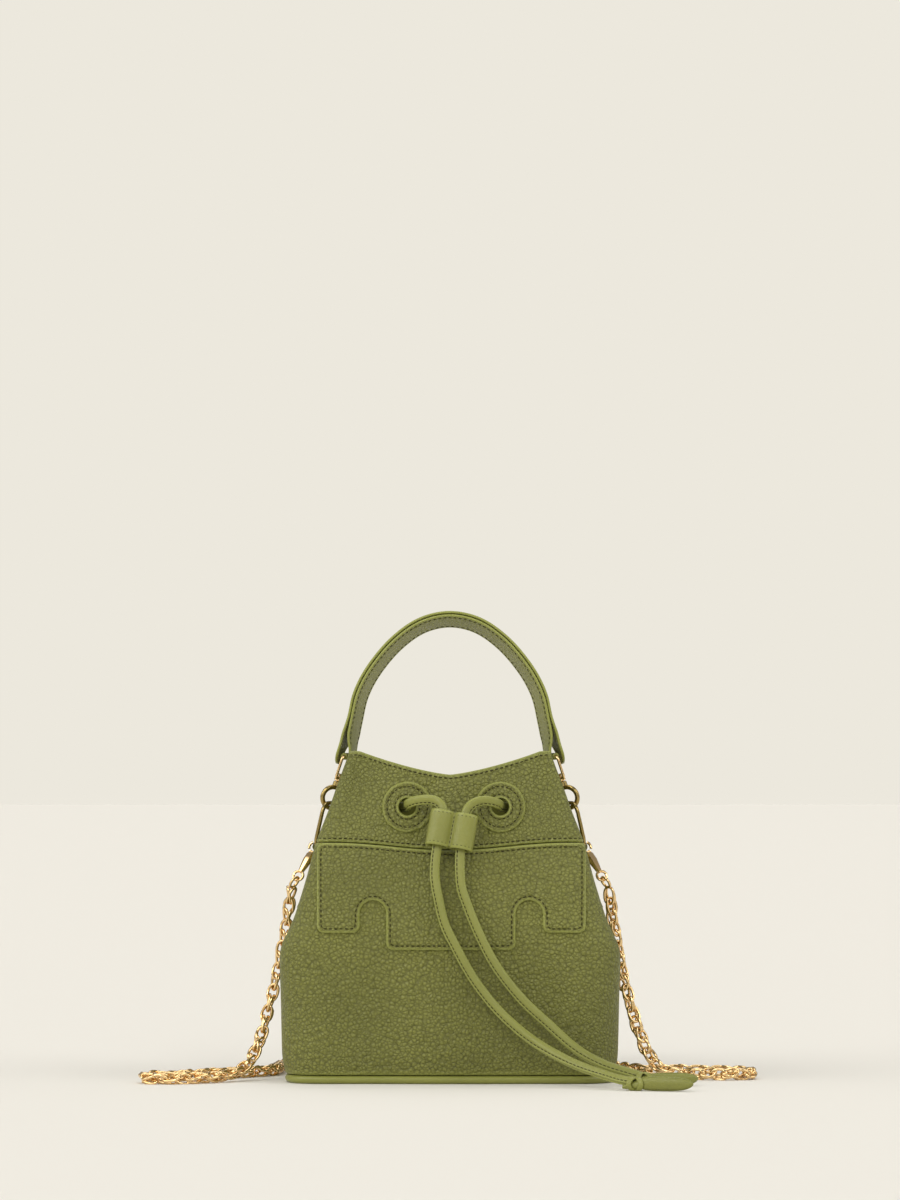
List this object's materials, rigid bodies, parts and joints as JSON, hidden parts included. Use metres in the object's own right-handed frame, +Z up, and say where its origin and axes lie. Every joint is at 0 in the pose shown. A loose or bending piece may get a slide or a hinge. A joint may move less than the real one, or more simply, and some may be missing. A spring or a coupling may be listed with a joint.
{
  "type": "bucket bag",
  "caption": "Small leather bucket bag with a drawcord closing through round eyelets, a short top handle on snap hooks and a detachable chain strap.",
  "frame": {"origin": "on the floor under the centre of the base", "axes": "+Z up, +X to the right as seen from the front, the front with the cord slider faces -Y"},
  "size_m": [0.3506, 0.2317, 0.2708],
  "materials": {
    "olive_leather": "pebbled full-grain leather, soft sheen, tone-on-tone dark stitching",
    "smooth_edge_leather": "smooth rolled leather, slightly glossier and lighter than the body",
    "textile_lining": "plain woven lining",
    "stiffener_board": "grey-brown fibre board",
    "polished_gold": "polished gold-tone plating",
    "antique_gold": "polished gold-tone plating, darker"
  },
  "bodies": {
    "bag": {"front_body_panel": "olive_leather", "back_body_panel": "olive_leather", "front_yoke": "olive_leather", "back_yoke": "olive_leather", "mouth_facing": "olive_leather", "textile_lining": "textile_lining", "base_board": "stiffener_board", "base_panel": "olive_leather", "base_piping": "smooth_edge_leather", "front_overlay": "olive_leather", "back_overlay": "olive_leather", "front_eyelet_left": "olive_leather", "front_eyelet_right": "olive_leather", "back_eyelet_left": "olive_leather", "back_eyelet_right": "olive_leather", "side_tab_left": "olive_leather", "side_tab_right": "olive_leather", "drawcord_neck": "smooth_edge_leather", "drawcord_tail_left": "smooth_edge_leather", "drawcord_tail_right": "smooth_edge_leather", "pull_knot_left": "smooth_edge_leather", "pull_knot_right": "smooth_edge_leather", "pull_leaf_left": "olive_leather", "pull_leaf_right": "olive_leather", "chain_strap": "polished_gold", "chain_end_ring_left": "polished_gold", "chain_end_ring_right": "polished_gold", "clasp_body_left": "polished_gold", "clasp_body_right": "polished_gold"},
    "slider": {"cord_slider": "smooth_edge_leather"},
    "handle": {"handle_outer_ply": "smooth_edge_leather", "handle_inner_ply": "smooth_edge_leather", "handle_loop_left": "smooth_edge_leather", "handle_loop_right": "smooth_edge_leather", "hook_eye_left": "polished_gold", "hook_eye_right": "polished_gold"},
    "hook_left": {"hook_body_left": "antique_gold"},
    "hook_gate_left": {"hook_gate_left": "antique_gold"},
    "side_ring_left": {"side_ring_left": "antique_gold"},
    "clasp_trigger_left": {"clasp_trigger_left": "polished_gold"},
    "hook_right": {"hook_body_right": "antique_gold"},
    "hook_gate_right": {"hook_gate_right": "antique_gold"},
    "side_ring_right": {"side_ring_right": "antique_gold"},
    "clasp_trigger_right": {"clasp_trigger_right": "polished_gold"}
  },
  "joints": [
    {"name": "handle_swing", "type": "hinge", "parent": "bag", "child": "handle", "pos_m": [0, 0, 0.1584], "axis": [1, 0, 0], "range_deg": [-16, 18]},
    {"name": "slider_slide", "type": "slide", "parent": "bag", "child": "slider", "axis": [0.1699, 0.2079, 0.9633], "range_m": [-0.012, 0.002]},
    {"name": "hook_swivel_right", "type": "hinge", "parent": "handle", "child": "hook_right", "pos_m": [0.0643, 0, 0.1736], "axis": [0.323, 0, -0.9464], "range_deg": [-20, 1]},
    {"name": "hook_gate_right", "type": "hinge", "parent": "hook_right", "child": "hook_gate_right", "pos_m": [0.06421, 0.00091, 0.16692], "axis": [-0.3545, -0.9272, -0.121], "range_deg": [0, 12], "stiffness_Nm_per_rad": 0.004},
    {"name": "side_ring_tilt_right", "type": "hinge", "parent": "bag", "child": "side_ring_right", "pos_m": [0.0758, 0, 0.1338], "axis": [0.342, -0.9397, 0], "range_deg": [-1, 1]},
    {"name": "clasp_trigger_right", "type": "hinge", "parent": "bag", "child": "clasp_trigger_right", "pos_m": [0.08158, -0.00543, 0.1325], "axis": [0.2062, -0.8753, 0.4374], "range_deg": [0, 14], "stiffness_Nm_per_rad": 0.002},
    {"name": "hook_swivel_left", "type": "hinge", "parent": "handle", "child": "hook_left", "pos_m": [-0.0643, 0, 0.1736], "axis": [-0.323, 0, -0.9464], "range_deg": [-1, 20]},
    {"name": "hook_gate_left", "type": "hinge", "parent": "hook_left", "child": "hook_gate_left", "pos_m": [-0.06421, 0.00091, 0.16692], "axis": [-0.3545, 0.9272, 0.121], "range_deg": [0, 12], "stiffness_Nm_per_rad": 0.004},
    {"name": "side_ring_tilt_left", "type": "hinge", "parent": "bag", "child": "side_ring_left", "pos_m": [-0.0758, 0, 0.1338], "axis": [-0.342, -0.9397, 0], "range_deg": [-1, 1]},
    {"name": "clasp_trigger_left", "type": "hinge", "parent": "bag", "child": "clasp_trigger_left", "pos_m": [-0.08158, -0.00543, 0.1325], "axis": [0.2062, 0.8753, -0.4374], "range_deg": [0, 14], "stiffness_Nm_per_rad": 0.002}
  ]
}
